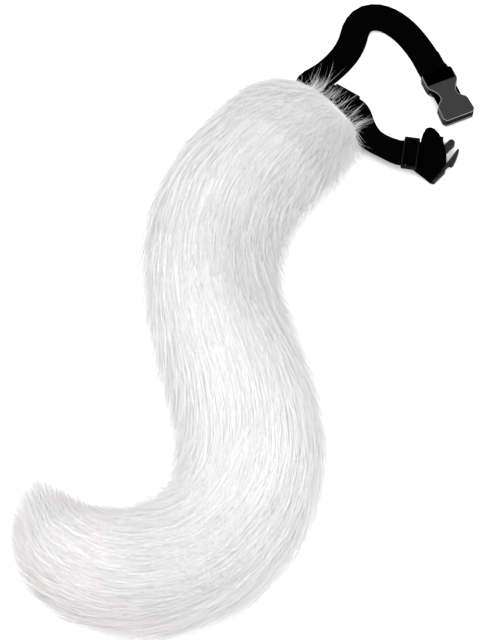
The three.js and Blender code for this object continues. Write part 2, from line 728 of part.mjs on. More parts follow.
// Prongs: a slotted plate, two barbed arms and a middle guide
function prongs() {
  const thick = SOCKET_THICKNESS - 2 * (SOCKET_SKIN + PRONG_FIT);
  const shoulder = PRONG_BODY - BAR_DEPTH / 2;
  const rear = -BAR_DEPTH / 2;
  const hole = WEB_WIDTH / 2 + CLEARANCE;
  const half = hole + RAIL;
  const armOut = cavityHalf - PRONG_FIT;
  const armIn = armOut - PRONG_ARM;
  const tip = shoulder + PRONG_REACH;
  const reach = (share) => shoulder + PRONG_REACH * share;
  const bodyOutline = [
    [rear + REAR_NICK, -half], [shoulder - SHOULDER_NICK, -half],
    [shoulder, -half + SHOULDER_NICK], [shoulder, half - SHOULDER_NICK],
    [shoulder - SHOULDER_NICK, half], [rear + REAR_NICK, half],
    [rear, half - REAR_NICK], [rear, -half + REAR_NICK],
  ];
  const arm = [
    [shoulder - 1, armIn], [reach(0.3), armIn + 0.6], [reach(0.6), armIn - 0.2],
    [tip, armIn - 1.6], [tip, armOut - 3], [reach(0.66), armOut + 0.6],
    [reach(0.42), armOut + PRONG_BARB], [reach(0.32), armOut + PRONG_BARB * 0.85],
    [reach(0.27), armOut], [shoulder - 1, armOut],
  ];
  const guide = [
    [shoulder - 1, -PRONG_GUIDE / 2], [reach(1.08), -PRONG_GUIDE / 2], [reach(1.16), -PRONG_GUIDE / 4],
    [reach(1.16), PRONG_GUIDE / 4], [reach(1.08), PRONG_GUIDE / 2], [shoulder - 1, PRONG_GUIDE / 2],
  ];
  const barLow = barMiddle - BAR_THICKNESS / 2;
  return extruded(bodyOutline, 0, PRONG_PLATE)
    .subtract(block(rear - 1, rear + BAR_DEPTH + BAR_SLOT, -hole, hole, -1, PRONG_PLATE + 1))
    .add(bar(rear, rear + BAR_DEPTH, barLow, barLow + BAR_THICKNESS, hole + 1))
    .add(extruded(arm, 0, thick))
    .add(extruded(arm.map(([x, y]) => [x, -y]).reverse(), 0, thick))
    .add(extruded(guide, 0, thick));
}

function piece(name, geometry, finish, at = origin, heading = 0) {
  const mesh = new THREE.Mesh(geometry, new THREE.MeshStandardMaterial(finish));
  mesh.name = name;
  mesh.position.copy(at);
  mesh.rotation.z = rad(heading);
  return mesh;
}

function placed(body, at, heading) {
  const geometry = geometryOf(body);
  geometry.rotateZ(rad(heading));
  geometry.translate(at.x, at.y, at.z);
  return solid(geometry);
}

const fur = { color: "#f4f3f1", roughness: 0.9, metalness: 0 };
const velvet = { color: "#050505", roughness: 0.95, metalness: 0 };
const moulded = { color: "#1c1b1c", roughness: 0.45, metalness: 0 };

const group = new THREE.Group();
const rooms = [beltRoom(), placed(casing(CLEARANCE), origin, CASING_HEADING)];
group.add(piece("tail_fur", tailFur(rooms), fur));
group.add(piece("belt", ribbon(beltStations(), WEB_WIDTH, WEB_THICKNESS), velvet));
group.add(piece("belt_casing", geometryOf(casing()), velvet, origin, CASING_HEADING));
group.add(piece("slider", geometryOf(slider()), moulded, sliderAt, sliderHeading));
group.add(piece("buckle_socket", geometryOf(socket()), moulded, upper.end, socketHeading));
group.add(piece("buckle_prongs", geometryOf(prongs()), moulded, barAt, prongHeading));

export default group;
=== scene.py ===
# %% [markdown]
# # A long-pile costume tail on a belt
# This lesson dresses a plain model of a costume tail. The tail is a stuffed tube of white faux
# fur that lies on the floor in an S. A short black belt holds it, with a plastic buckle and a
# slider. The plain model gives every size and place, and here each piece gets the surface that
# the real one has: long pile on the tail, a brushed nap on the belt, a satin grain on the
# plastic. Lengths are in metres, and MM turns millimetres into them.

# %% Load the plain model
import math

import bpy
import bmesh
import numpy as np
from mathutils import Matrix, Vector


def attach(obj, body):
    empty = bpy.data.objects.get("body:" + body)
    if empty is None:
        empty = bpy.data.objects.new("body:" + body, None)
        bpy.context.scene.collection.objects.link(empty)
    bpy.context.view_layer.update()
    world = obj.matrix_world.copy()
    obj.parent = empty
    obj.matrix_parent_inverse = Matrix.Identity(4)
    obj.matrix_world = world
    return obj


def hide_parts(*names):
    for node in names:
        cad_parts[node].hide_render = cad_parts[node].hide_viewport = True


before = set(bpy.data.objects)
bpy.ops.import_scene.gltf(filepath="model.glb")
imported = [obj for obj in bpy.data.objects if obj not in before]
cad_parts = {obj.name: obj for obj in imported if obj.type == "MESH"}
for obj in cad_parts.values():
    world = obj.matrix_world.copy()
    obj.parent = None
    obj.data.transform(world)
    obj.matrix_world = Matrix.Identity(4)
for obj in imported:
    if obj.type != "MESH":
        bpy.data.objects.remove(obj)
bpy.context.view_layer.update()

MM = 0.001

# %% [markdown]
# ## Camera
# A camera straight above would show the S best, and one near the floor would show how deep the
# pile is. This one looks down at 65 degrees, which shows both. It stands 1.8 m off with a long
# lens, because a short lens close by would swell the bend that is nearer.

# %% Camera
AIM = Vector((-0.0859, -0.2090, 0.0))
EYE = Vector((-0.0859, -0.9697, 1.6314))
SENSOR_WIDTH = 36
LENS = 121.1
NEAREST = 0.05

sight = AIM - EYE
camera_data = bpy.data.cameras.new("camera")
camera_data.sensor_width = SENSOR_WIDTH
camera_data.lens = LENS
camera_data.clip_start = NEAREST
camera = bpy.data.objects.new("camera", camera_data)
camera.location = EYE
camera.rotation_euler = sight.to_track_quat("-Z", "Y").to_euler()
bpy.context.scene.collection.objects.link(camera)
bpy.context.scene.camera = camera
down = math.degrees(math.asin(-sight.z / sight.length))
print("camera is", round(sight.length, 3), "m from its aim and looks down", round(down, 1), "degrees")

# %% [markdown]
# ## Writing nodes as sums
# A node tree could be wired by hand in the editor, but a formula is shorter to read and easier
# to change. A wire stands for one socket, and adding or multiplying two wires makes the Math
# node for it. The reflected forms let a number stand first, as in 1 - wire.

# %% A wire
class Wire:
    def __init__(self, graph, socket):
        self.graph = graph
        self.socket = socket

    def maths(self, operation, a, b):
        return self.graph.add("ShaderNodeMath", {"operation": operation}, {0: a, 1: b})

    def __add__(self, other):
        return self.maths("ADD", self, other)

    def __sub__(self, other):
        return self.maths("SUBTRACT", self, other)

    def __rsub__(self, other):
        return self.maths("SUBTRACT", other, self)

    def __mul__(self, other):
        return self.maths("MULTIPLY", self, other)

    def __truediv__(self, other):
        return self.maths("DIVIDE", self, other)

    def __rtruediv__(self, other):
        return self.maths("DIVIDE", other, self)

    def __pow__(self, other):
        return self.maths("POWER", self, other)

    def __abs__(self):
        return self.maths("ABSOLUTE", self, 0.0)

    def clamped(self):
        return self.graph.add("ShaderNodeClamp", None, {"Value": self})

    __radd__ = __add__
    __rmul__ = __mul__


# %% [markdown]
# ## One way to add any node
# Every node comes from one method. It takes the node's kind, then its settings, which go first
# because they change which sockets the node has, and then what goes into each socket: a number
# or a wire. The few nodes that are used again and again get a short method of their own.

# %% A graph
def find_socket(sockets, key):
    if isinstance(key, int):
        return sockets[key]
    named = [s for s in sockets if s.name == key]
    shown = [s for s in named if s.enabled]
    return (shown or named)[0]


class Graph:
    def __init__(self, tree):
        self.tree = tree

    def add(self, kind, settings=None, sockets=None, out=0):
        node = self.tree.nodes.new(kind)
        for name, value in (settings or {}).items():
            setattr(node, name, value)
        for key, value in (sockets or {}).items():
            socket = find_socket(node.inputs, key)
            if isinstance(value, Wire):
                self.tree.links.new(value.socket, socket)
            else:
                socket.default_value = value
        return Wire(self, find_socket(node.outputs, out))

    def vector(self, operation, a, b):
        return self.add("ShaderNodeVectorMath", {"operation": operation}, {0: a, 1: b})

    def part(self, vector, axis):
        return self.add("ShaderNodeSeparateXYZ", None, {"Vector": vector}, out=axis)

    def blend(self, amount, low, high):
        settings = {"data_type": "RGBA"}
        return self.add("ShaderNodeMix", settings, {0: amount, 6: low, 7: high}, out=2)

    def noise(self, place, scale, detail=3.0, roughness=0.5):
        values = {"Vector": place, "Scale": scale, "Detail": detail, "Roughness": roughness}
        return self.add("ShaderNodeTexNoise", None, values, out="Fac")


# %% [markdown]
# ## A finish is one shader
# Plastic, elastic and fur differ in colour, shine and bump, and one Principled shader has a
# value for each of them. Several shaders could be mixed instead, but one is quicker to render
# and to understand. What varies over the surface is wired to it. What is the same all over is
# set on its own socket.

# %% Finishes
def new_finish(name):
    material = bpy.data.materials.new(name)
    material.use_nodes = True
    graph = Graph(material.node_tree)
    shader = material.node_tree.nodes["Principled BSDF"]
    return material, graph, shader


def wire_up(graph, shader, values):
    for name, value in values.items():
        socket = shader.inputs[name]
        if isinstance(value, Wire):
            graph.tree.links.new(value.socket, socket)
        else:
            socket.default_value = value


def bumped(graph, height, depth, strength):
    values = {"Strength": strength, "Distance": depth, "Height": height}
    return graph.add("ShaderNodeBump", None, values)


# %% [markdown]
# ## Moulded plastic
# The buckle is black nylon with a satin skin. One black with an even shine would look wet, so
# noise makes a fine grain, which breaks up the shine. Faces that point up are greyer than the
# walls, in noisy patches: that is painted light, for the light the tops catch. The socket's
# rounded edges get a paler finish of their own, which is a painted highlight along them.

# %% Plastic finish
GRAIN_SCALE = 2600.0
GRAIN_DEPTH = 0.06 * MM
RUB_AND_LIGHT_SCALE = 90.0
RUB_SHINE = 0.14
LEAST_TOP_LIGHT = 0.75
TOP_LIGHT_PATCHES = 0.5
WARM_TINT = (1.0, 0.96, 0.97)


def grey(value):
    return (*[value * part for part in WARM_TINT], 1)


def moulded_finish(name, wall, face, gloss):
    material, graph, shader = new_finish(name)
    place = graph.add("ShaderNodeTexCoord", None, None, out="Object")
    grain = graph.noise(place, GRAIN_SCALE, 2.0)
    rub_and_light_patches = graph.noise(place, RUB_AND_LIGHT_SCALE, 4.0, 0.6)
    normal = graph.add("ShaderNodeNewGeometry", None, None, out="Normal")
    # Painted light: faces that point up are lighter, in noisy patches, as if catching the light.
    painted_top_light = (graph.part(normal, "Z") * (rub_and_light_patches * TOP_LIGHT_PATCHES + LEAST_TOP_LIGHT)).clamped()
    wire_up(graph, shader, {
        "Base Color": graph.blend(painted_top_light, grey(wall), grey(face)),
        "Roughness": gloss + rub_and_light_patches * RUB_SHINE,
        "Normal": bumped(graph, grain, GRAIN_DEPTH, 0.6),
    })
    shader.inputs["Specular IOR Level"].default_value = 0.07
    return material


plastic = moulded_finish("satin_black_plastic", 0.001, 0.022, 0.42)
# A paler finish for the socket's bevels: a painted highlight along its edges.
painted_edge_highlight = moulded_finish("plastic_edge_highlight", 0.02, 0.24, 0.4)
prong_plastic = moulded_finish("prong_black_plastic", 0.001, 0.014, 0.38)
slider_plastic = moulded_finish("matt_black_plastic", 0.0005, 0.002, 0.5)
print("plastic finishes", plastic.name, painted_edge_highlight.name, prong_plastic.name, slider_plastic.name)

# %% [markdown]
# ## Velvety webbing
# The belt is knitted elastic with a brushed nap that swallows nearly all light. Its threads
# could be modelled, but they are finer than a pixel. So the nap is noise: it roughens the shine
# and makes the bump, and wider patches of noise shift the black a little. A trace of sheen
# stands for the light that the nap catches along the edges.

# %% Webbing finish
NAP_SCALE = 1500.0
NAP_DEPTH = 0.3 * MM
PATCH_SCALE = 60.0
DEEP_BLACK = (0.0003, 0.0003, 0.0003, 1)
WORN_BLACK = (0.0008, 0.0007, 0.0007, 1)

webbing, graph, shader = new_finish("velvet_webbing")
place = graph.add("ShaderNodeTexCoord", None, None, out="Object")
nap = graph.noise(place, NAP_SCALE, 3.0, 0.7)
patches = graph.noise(place, PATCH_SCALE, 3.0)
wire_up(graph, shader, {
    "Base Color": graph.blend(patches, DEEP_BLACK, WORN_BLACK),
    "Roughness": 0.82 + nap * 0.16,
    "Normal": bumped(graph, nap, NAP_DEPTH, 0.8),
})
shader.inputs["Sheen Weight"].default_value = 0.001
shader.inputs["Sheen Roughness"].default_value = 0.4
shader.inputs["Specular IOR Level"].default_value = 0.004
print("webbing finish has", len(webbing.node_tree.nodes), "nodes")

# %% [markdown]
# ## White pile
# Faux fur is thousands of thin, clear fibres. A hair shader could follow the light through each
# one, but these strands are plain mesh, and a matt shader on them gives the same soft white.
# Every strand remembers where its root stood on the flat pelt, how far along itself a point is,
# and a shade of its own. Noise stretched along the pelt gives streaks that follow the pile.
#
# The white isn't even along the tail. It is greyer near the sewn root and on the lower bend.
# The inner side of the first bend is greyed too, as painted shade for the shadow on that side.
# The sides and the lower bend are a little warmer, and each strand is warmer at its root.

# %% Fur colours and streaks
DEEP_FUR = (0.90, 0.885, 0.87, 1)
SHADED_FUR = (0.80, 0.80, 0.81, 1)
BRIGHT_FUR = (0.985, 0.985, 0.99, 1)
WARM_FUR = (0.93, 0.90, 0.885, 1)
BROAD_STREAKS = (7.0, 46.0, 1.0)
FINE_STREAKS = (22.0, 240.0, 1.0)
BROAD_CONTRAST = 0.9
FINE_CONTRAST = 0.27
STRAND_CONTRAST = 0.2


def remembered(graph, name, out):
    return graph.add("ShaderNodeAttribute", {"attribute_name": name}, None, out=out)


def streaks(graph, root, shade):
    broad = graph.noise(graph.vector("MULTIPLY", root, BROAD_STREAKS), 1.0, 3.0, 0.55) - 0.5
    fine = graph.noise(graph.vector("MULTIPLY", root, FINE_STREAKS), 1.0, 2.0, 0.6) - 0.5
    return broad * BROAD_CONTRAST + fine * FINE_CONTRAST + (shade - 0.5) * STRAND_CONTRAST


print("white goes from", SHADED_FUR[:3], "to", BRIGHT_FUR[:3])

# %% [markdown]
# ## Where the white changes
# Each change of tone is a pair of distances on the flat pelt: where it begins and where it is
# full. Next to the pair stands how strongly it greys or warms the white. The last pair is a
# share of the strand, which is deeper in tone at its root. Written so, a change is moved or
# weakened in one place, without a mask painted by hand.

# %% Fur finish
EVEN_WHITE = 0.8
SEWN_ROOT, SEWN_GREYING = (0.2556, 0.0333), 0.85
LOWER_BEND, LOWER_GREYING = (0.36, 0.5138), 1.2
# The inner side of the first bend gets painted shade: its greying stands for shadow there.
FIRST_BEND_AT, FIRST_BEND_REACH = 0.19, (0.1333, 0.0222)
INNER_SIDE, INNER_PAINTED_SHADE = (-0.0286, 0.0429), 0.75
OUTER_SIDES, WARMING = (0.0313, 0.1563), 0.4
STRAND_ROOT = (-0.0105, 0.5158)


def rising(wire, none, full):
    return ((wire - none) * (1 / (full - none))).clamped()


def fur_finish(name):
    material, graph, shader = new_finish(name)
    root = remembered(graph, "root", "Vector")
    along = remembered(graph, "along", "Fac")
    shade = remembered(graph, "shade", "Fac")
    down_tail = graph.part(root, "X")
    across = graph.part(root, "Y")
    sewn = rising(down_tail, *SEWN_ROOT)
    lower = rising(down_tail, *LOWER_BEND)
    # Painted shade on the inner side of the first bend.
    painted_bend_shade = rising(abs(down_tail - FIRST_BEND_AT), *FIRST_BEND_REACH) * rising(across, *INNER_SIDE)
    greyed_and_shaded = sewn * SEWN_GREYING + lower * LOWER_GREYING + painted_bend_shade * INNER_PAINTED_SHADE
    white = (streaks(graph, root, shade) + EVEN_WHITE - greyed_and_shaded).clamped()
    tone = graph.blend(white, SHADED_FUR, BRIGHT_FUR)
    warmer = (rising(abs(across), *OUTER_SIDES) + lower) * WARMING
    tone = graph.blend(warmer, tone, WARM_FUR)
    wire_up(graph, shader, {
        "Base Color": graph.blend(rising(along, *STRAND_ROOT), DEEP_FUR, tone),
        "Roughness": 0.62 - shade * 0.15,
    })
    shader.inputs["Specular IOR Level"].default_value = 0.35
    shader.inputs["Sheen Weight"].default_value = 0.15
    return material


fur = fur_finish("white_fur")
print("fur finish has", len(fur.node_tree.nodes), "nodes")

# %% [markdown]
# ## The tail's shape
# The stuffed tail is a tube with a bent middle line. It could be drawn as a curve with a bevel,
# but the pile needs a rule that says where any point of the skin is. So a short table says, at
# shares of the length, which way the tail heads, how wide it is and how high. The same table
# shapes the plain model, so the pile grows on that very form.

# %% The tail's table
TAIL_LENGTH = 610 * MM
TAIL_WIDTH = 116 * MM
TAIL_HEIGHT = 78 * MM
ROOT_SETBACK = 12 * MM
CASING_HEADING = -33.0
HEADING, WIDE, HIGH = 1, 2, 3
TAIL_SECTIONS = np.array([
    # at, heading, width, height
    (0.000, 226, 0.56, 0.36),
    (0.030, 222, 0.77, 0.61),
    (0.068, 220, 0.93, 0.80),
    (0.127, 229, 1.03, 0.92),
    (0.195, 236, 1.04, 0.97),
    (0.250, 250, 1.01, 1.00),
    (0.302, 263, 0.96, 1.00),
    (0.353, 273, 0.93, 1.00),
    (0.403, 284, 0.93, 1.00),
    (0.477, 289, 0.96, 1.00),
    (0.558, 281, 0.99, 1.00),
    (0.620, 269, 1.00, 1.00),
    (0.676, 249, 0.98, 1.00),
    (0.725, 229, 0.95, 0.98),
    (0.790, 205, 0.92, 0.96),
    (0.854, 181, 0.90, 0.92),
    (0.900, 160, 0.86, 0.87),
    (0.930, 147, 0.79, 0.81),
    (0.953, 137, 0.72, 0.74),
    (0.976, 127, 0.62, 0.64),
    (1.000, 114, 0.47, 0.49),
])


def column(at, index):
    return np.interp(at, TAIL_SECTIONS[:, 0], TAIL_SECTIONS[:, index])


print("the tail is widest", round(TAIL_SECTIONS[:, WIDE].max() * TAIL_WIDTH, 3), "m")

# %% [markdown]
# ## Walking the middle line
# Small steps in the table's headings give the middle line, as a walker would draw it. It begins
# a little way off the casing, which holds the belt.

# %% The middle line
SPINE_STEPS = 480


def ways(heading):
    turn = np.radians(heading)
    ahead = np.stack([np.cos(turn), np.sin(turn)], -1)
    left = np.stack([-np.sin(turn), np.cos(turn)], -1)
    return ahead, left


step_at = (np.arange(SPINE_STEPS) + 0.5) / SPINE_STEPS
step_way, _ = ways(column(step_at, HEADING))
root_way, _ = ways(CASING_HEADING - 90)
spine_start = root_way * ROOT_SETBACK
spine = np.vstack([spine_start, spine_start + np.cumsum(step_way * TAIL_LENGTH / SPINE_STEPS, 0)])
spine_at = np.linspace(0, 1, SPINE_STEPS + 1)
print("middle line ends at", spine[-1].round(4))

# %% [markdown]
# ## A point of the skin
# A point of the skin is a share along the middle line, an angle round it and a height proud of
# the core. The core is a little slimmer than the tail, to leave room for the pile. It is widest
# at its belly, below half its height, and it is squashed where it lies. Past the end of the
# middle line the tube closes like an egg, and strands that hang over the end close with it.
# Whole arrays of points go through at once, because the pile has hundreds of thousands.

# %% From share and angle to a place
CORE = 0.95
BELLY = 0.42
SQUASH = 1.3
END_REACH = 0.15
LEAST_CLOSING = 0.05


def on_tail(at, angle, proud):
    inside = np.clip(at, 0, 1)
    past_end = np.clip(at - 1, 0, 1) / END_REACH
    closing = np.sqrt(np.clip(1 - past_end ** 2, LEAST_CLOSING, 1))
    half = (column(inside, WIDE) * TAIL_WIDTH * CORE / 2 + proud) * closing
    height = column(inside, HIGH) * TAIL_HEIGHT * CORE
    middle = height * BELLY
    rise = np.sin(angle)
    reach = (np.where(rise > 0, height - middle, middle * SQUASH) + proud) * closing
    ahead, left = ways(column(inside, HEADING))
    flat = np.stack([np.interp(inside, spine_at, spine[:, axis]) for axis in (0, 1)], -1)
    flat = flat + ahead * ((at - inside) * TAIL_LENGTH)[..., None]
    flat = flat + left * (half * np.cos(angle))[..., None]
    return np.concatenate([flat, (middle + reach * rise)[..., None]], -1)


ridge = on_tail(np.array([0.5]), np.array([math.pi / 2]), np.array([0.0]))
print("halfway, the top of the core is at", ridge[0].round(4))

# %% [markdown]
# ## Making meshes
# The skin and the strand are made point by point, so one helper turns points and faces into an
# object. Another keeps a value for each point in the mesh, where a shader can read it.

# %% Mesh helpers
def add_mesh(name, points, faces, material, smooth=True):
    mesh = bpy.data.meshes.new(name)
    mesh.from_pydata([tuple(p) for p in points], [], faces)
    mesh.validate()
    made = bpy.data.objects.new(name, mesh)
    bpy.context.scene.collection.objects.link(made)
    mesh.materials.append(material)
    if smooth:
        mesh.shade_smooth()
    return made


def store(mesh, name, kind, values):
    layer = mesh.attributes.new(name, kind, "POINT")
    field = "vector" if kind == "FLOAT_VECTOR" else "value"
    layer.data.foreach_set(field, np.asarray(values, np.float32).ravel())


# %% [markdown]
# ## The skin under the pile
# The real tail is a tube of backing cloth round soft filling. A row of rings makes it here,
# each of them placed by the rule above. It is sunk by a few millimetres, so that it only shows
# as depth between the strands, and it is pulled in at both ends. Soft filling is never quite
# even, so crossed waves leave a slight ripple.

# %% Rings of the skin
PILE_SINK = 5 * MM
RIPPLE = 1.2 * MM
RINGS = 150
RING_SIDES = 56
END_SHARE = 0.02
SKIN_MARGIN = 0.004
SKIN_FLOOR = 0.6 * MM

ring_at = np.linspace(SKIN_MARGIN, 1 - SKIN_MARGIN, RINGS)
ring_angle = np.arange(RING_SIDES) / RING_SIDES * 2 * math.pi
grid_at, grid_angle = np.meshgrid(ring_at, ring_angle, indexing="ij")


def wave(down_tail, round_tail):
    return np.sin(grid_at * down_tail + grid_angle * round_tail)


ripple = wave(61, 3) * wave(-40, 7) * RIPPLE
from_root = np.clip(grid_at / END_SHARE, 0, 1)
from_tip = np.clip((1 - grid_at) / END_SHARE, 0, 1)
skin_sink = PILE_SINK * (2 - from_tip ** 0.5 * from_root ** 0.5)
skin_points = on_tail(grid_at, grid_angle, ripple - skin_sink)
skin_points[..., 2] = np.maximum(skin_points[..., 2], SKIN_FLOOR)
print("skin rises to", round(float(skin_points[..., 2].max()), 4), "m")

# %% The skin
GIRTH = 0.30
SKIN_ALONG = 0.4
SKIN_SHADE = 0.4

ring_faces = []
for ring in range(RINGS - 1):
    for side in range(RING_SIDES):
        here = ring * RING_SIDES + side
        beside = ring * RING_SIDES + (side + 1) % RING_SIDES
        ring_faces.append((here, beside, beside + RING_SIDES, here + RING_SIDES))
ring_faces.append(tuple(range(RING_SIDES))[::-1])
ring_faces.append(tuple(range((RINGS - 1) * RING_SIDES, RINGS * RING_SIDES)))

skin = add_mesh("fur_skin", skin_points.reshape(-1, 3), ring_faces, fur)
skin_roots = np.stack([grid_at * TAIL_LENGTH, grid_angle / (2 * math.pi) * GIRTH, grid_at * 0], -1)
store(skin.data, "root", "FLOAT_VECTOR", skin_roots.reshape(-1, 3))
store(skin.data, "along", "FLOAT", np.full(grid_at.shape, SKIN_ALONG))
store(skin.data, "shade", "FLOAT", np.full(grid_at.shape, SKIN_SHADE))
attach(skin, "root")
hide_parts("tail_fur")
print("skin has", len(skin.data.polygons), "faces")

# %% [markdown]
# ## One strand
# A real tuft is many fibres that cling together. Here it is one tapered wisp with three sides
# and few faces, because tens of thousands are set out. It lies along X and is one metre long
# and one metre wide, so its scale is its real size.

# %% The strand
STRAND_PROFILE = [(0.0, 0.7), (0.5, 1.0)]
STRAND_SIDES = 3

strand_points = []
for along, wide in STRAND_PROFILE:
    for side in range(STRAND_SIDES):
        turn = 2 * math.pi * side / STRAND_SIDES
        strand_points.append((along, math.cos(turn) * wide / 2, math.sin(turn) * wide / 2))
strand_tip = len(strand_points)
strand_points.append((1.0, 0.0, 0.0))

strand_faces = []
for side in range(STRAND_SIDES):
    beside = (side + 1) % STRAND_SIDES
    strand_faces.append((side, beside, beside + STRAND_SIDES, side + STRAND_SIDES))
for side in range(STRAND_SIDES):
    beside = (side + 1) % STRAND_SIDES
    strand_faces.append((side + STRAND_SIDES, beside + STRAND_SIDES, strand_tip))
strand_faces.append((2, 1, 0))

strand = add_mesh("strand", strand_points, strand_faces, fur)
store(strand.data, "along", "FLOAT", [point[0] for point in strand_points])
print("strand has", len(strand_faces), "faces")

# %% [markdown]
# ## A pelt laid flat
# Fur fabric is made flat and then sewn into a tube, and the pile here goes the same way. Strands
# could be set straight onto the bent skin, but then they would be stiff and stand off in the
# bends. On a flat strip they lean one way, and when the strip is rolled on, they bend with it.
# The tree's inputs are what a maker would choose. Pile is the strand's length and Width its
# thickness. Lean lifts it off the backing, Splay turns single strands aside, and Wander turns
# whole tresses. Clump and Pull draw tips together. Strands stray most at the tail's sides, and
# Crown lets them stray on its top too.

# %% The pelt's inputs
PILE = {"Pile": 0.056, "Width": 0.0003, "Lean": 0.10, "Splay": 0.07,
        "Clump": 0.003, "Pull": 0.07, "Wander": 0.3, "Crown": 0.0}
PELT_LENGTHS = {"Length": 0.1, "Girth": GIRTH, "Strands": 100.0}

pelt_tree = bpy.data.node_groups.new("flat_pelt", "GeometryNodeTree")
pelt_sockets = {}


def pelt_input(name, kind):
    socket = pelt_tree.interface.new_socket(name=name, in_out="INPUT", socket_type=kind)
    pelt_sockets[name] = socket.identifier
    return socket


for name, value in {**PELT_LENGTHS, **PILE}.items():
    pelt_input(name, "NodeSocketFloat").default_value = value
pelt_input("Seed", "NodeSocketInt")
pelt_input("Strand", "NodeSocketObject")
pelt_input("Finish", "NodeSocketMaterial")
pelt_tree.interface.new_socket(name="Geometry", in_out="OUTPUT", socket_type="NodeSocketGeometry")
print("pelt inputs", list(pelt_sockets))

# %% [markdown]
# ## Scattering the roots
# A grid of even roots would show as rows, so they are scattered at random. The seed is given,
# and each later choice adds a number of its own to it, so the pelt comes out the same every
# time. Each root stores its place and its shade for the finish to read.

# %% Roots on the strip
g = Graph(pelt_tree)
entry = pelt_tree.nodes.new("NodeGroupInput")
given = {name: Wire(g, entry.outputs[name]) for name in pelt_sockets}


def chance(low, high, offset):
    values = {2: low, 3: high, "Seed": given["Seed"] + offset}
    return g.add("FunctionNodeRandomValue", {"data_type": "FLOAT"}, values, out=1)


def remember(points, name, kind, value):
    settings = {"data_type": kind, "domain": "POINT"}
    values = {"Geometry": points, "Name": name, "Value": value}
    return g.add("GeometryNodeStoreNamedAttribute", settings, values)


corners = {"Size X": given["Length"], "Size Y": given["Girth"], "Vertices X": 2, "Vertices Y": 2}
strip = g.add("GeometryNodeMeshGrid", None, corners)
density = given["Strands"] / (given["Length"] * given["Girth"])
dots = g.add("GeometryNodeDistributePointsOnFaces", {"distribute_method": "RANDOM"},
             {"Mesh": strip, "Density": density, "Seed": given["Seed"]})
spot = g.add("GeometryNodeInputPosition")
dots = remember(dots, "root", "FLOAT_VECTOR", spot)
dots = remember(dots, "shade", "FLOAT", chance(0.0, 1.0, 11))
print("roots use", len(pelt_tree.nodes), "nodes")

# %% [markdown]
# ## Setting out the strands
# No two strands are alike. A random value raised to the fifth power is near nothing for most of
# them and large for a few, and those few are the strays: thinner, and lifted out of the pile.
# Slow noise makes whole tresses wander to one side and back.

# %% Strands on the roots
STRAYING = 5.0
STRAY_LIFT = 3.0
STRAY_THINNING = 0.35
SIDES_RISE = 12.0
CALM_RIDGE = 0.3
LENGTH_SPREAD, WIDTH_SPREAD, LEAN_SPREAD = (0.65, 1.25), (0.6, 1.5), (0.7, 1.0)
FULL_TURN = 6.28
TRESSES = (9.0, 14.0, 1.0)

stray = chance(0.0, 1.0, 7) ** STRAYING
long = given["Pile"] * chance(*LENGTH_SPREAD, 3)
thick = given["Width"] * chance(*WIDTH_SPREAD, 5) * (1.0 - stray * STRAY_THINNING)
outer = (abs(g.part(spot, "Y")) * SIDES_RISE - CALM_RIDGE + given["Crown"]).clamped()
lift = given["Lean"] * (stray * STRAY_LIFT * outer + chance(*LEAN_SPREAD, 8))
wander = g.noise(g.vector("MULTIPLY", spot, TRESSES), 1.0, 1.0, 0.5) - 0.5
swing = given["Splay"] * chance(-1.0, 1.0, 9) + given["Wander"] * wander
turns = {"X": chance(0.0, FULL_TURN, 13), "Y": 0.0 - lift, "Z": swing}
turned = g.add("ShaderNodeCombineXYZ", None, turns)
size = g.add("ShaderNodeCombineXYZ", None, {"X": long, "Y": thick, "Z": thick})
wisp = g.add("GeometryNodeObjectInfo", None, {"Object": given["Strand"]}, out="Geometry")
pile = g.add("GeometryNodeInstanceOnPoints", None,
             {"Points": dots, "Instance": wisp, "Rotation": turned, "Scale": size})
pile = g.add("GeometryNodeRealizeInstances", None, {"Geometry": pile})
print("roots and strands use", len(pelt_tree.nodes), "nodes")

# %% [markdown]
# ## Drawing the tips together
# Brushed pile falls into tufts. Each cell of a Voronoi pattern is one tuft, and every point of a
# strand moves sideways to the middle of its cell, the more the nearer it is to the strand's end.
# The cells are long along the pelt, as tufts are.

# %% Tufts
TUFT_STRETCH = (0.45, 1.0, 1.0)
SIDEWAYS = (0.0, 1.0, 0.0)
TIP_BIAS = 1.6

here = g.add("GeometryNodeInputNamedAttribute", {"data_type": "FLOAT_VECTOR"}, {"Name": "root"})
grown = g.add("GeometryNodeInputNamedAttribute", {"data_type": "FLOAT"}, {"Name": "along"})
cell = g.vector("MULTIPLY", here, TUFT_STRETCH)
cells = {"Vector": cell, "Scale": 1.0 / given["Clump"], "Randomness": 1.0}
centre = g.add("ShaderNodeTexVoronoi", None, cells, out="Position")
toward = g.vector("SUBTRACT", centre, cell)
toward = g.add("ShaderNodeVectorMath", {"operation": "SCALE"},
               {0: toward, "Scale": given["Pull"] * grown ** TIP_BIAS})
toward = g.vector("MULTIPLY", toward, SIDEWAYS)
pile = g.add("GeometryNodeSetPosition", None, {"Geometry": pile, "Offset": toward})
pile = g.add("GeometryNodeSetMaterial", None, {"Geometry": pile, "Material": given["Finish"]})
leave = pelt_tree.nodes.new("NodeGroupOutput")
pelt_tree.links.new(pile.socket, leave.inputs[0])
print("pelt tree has", len(pelt_tree.nodes), "nodes")


# %% [markdown]
# ## From node tree to plain mesh
# The tree runs as a modifier on an empty object. Its inputs are set before it first runs. The
# result is taken as a plain mesh, which can be rolled and exported, and the modifier and its
# object go.

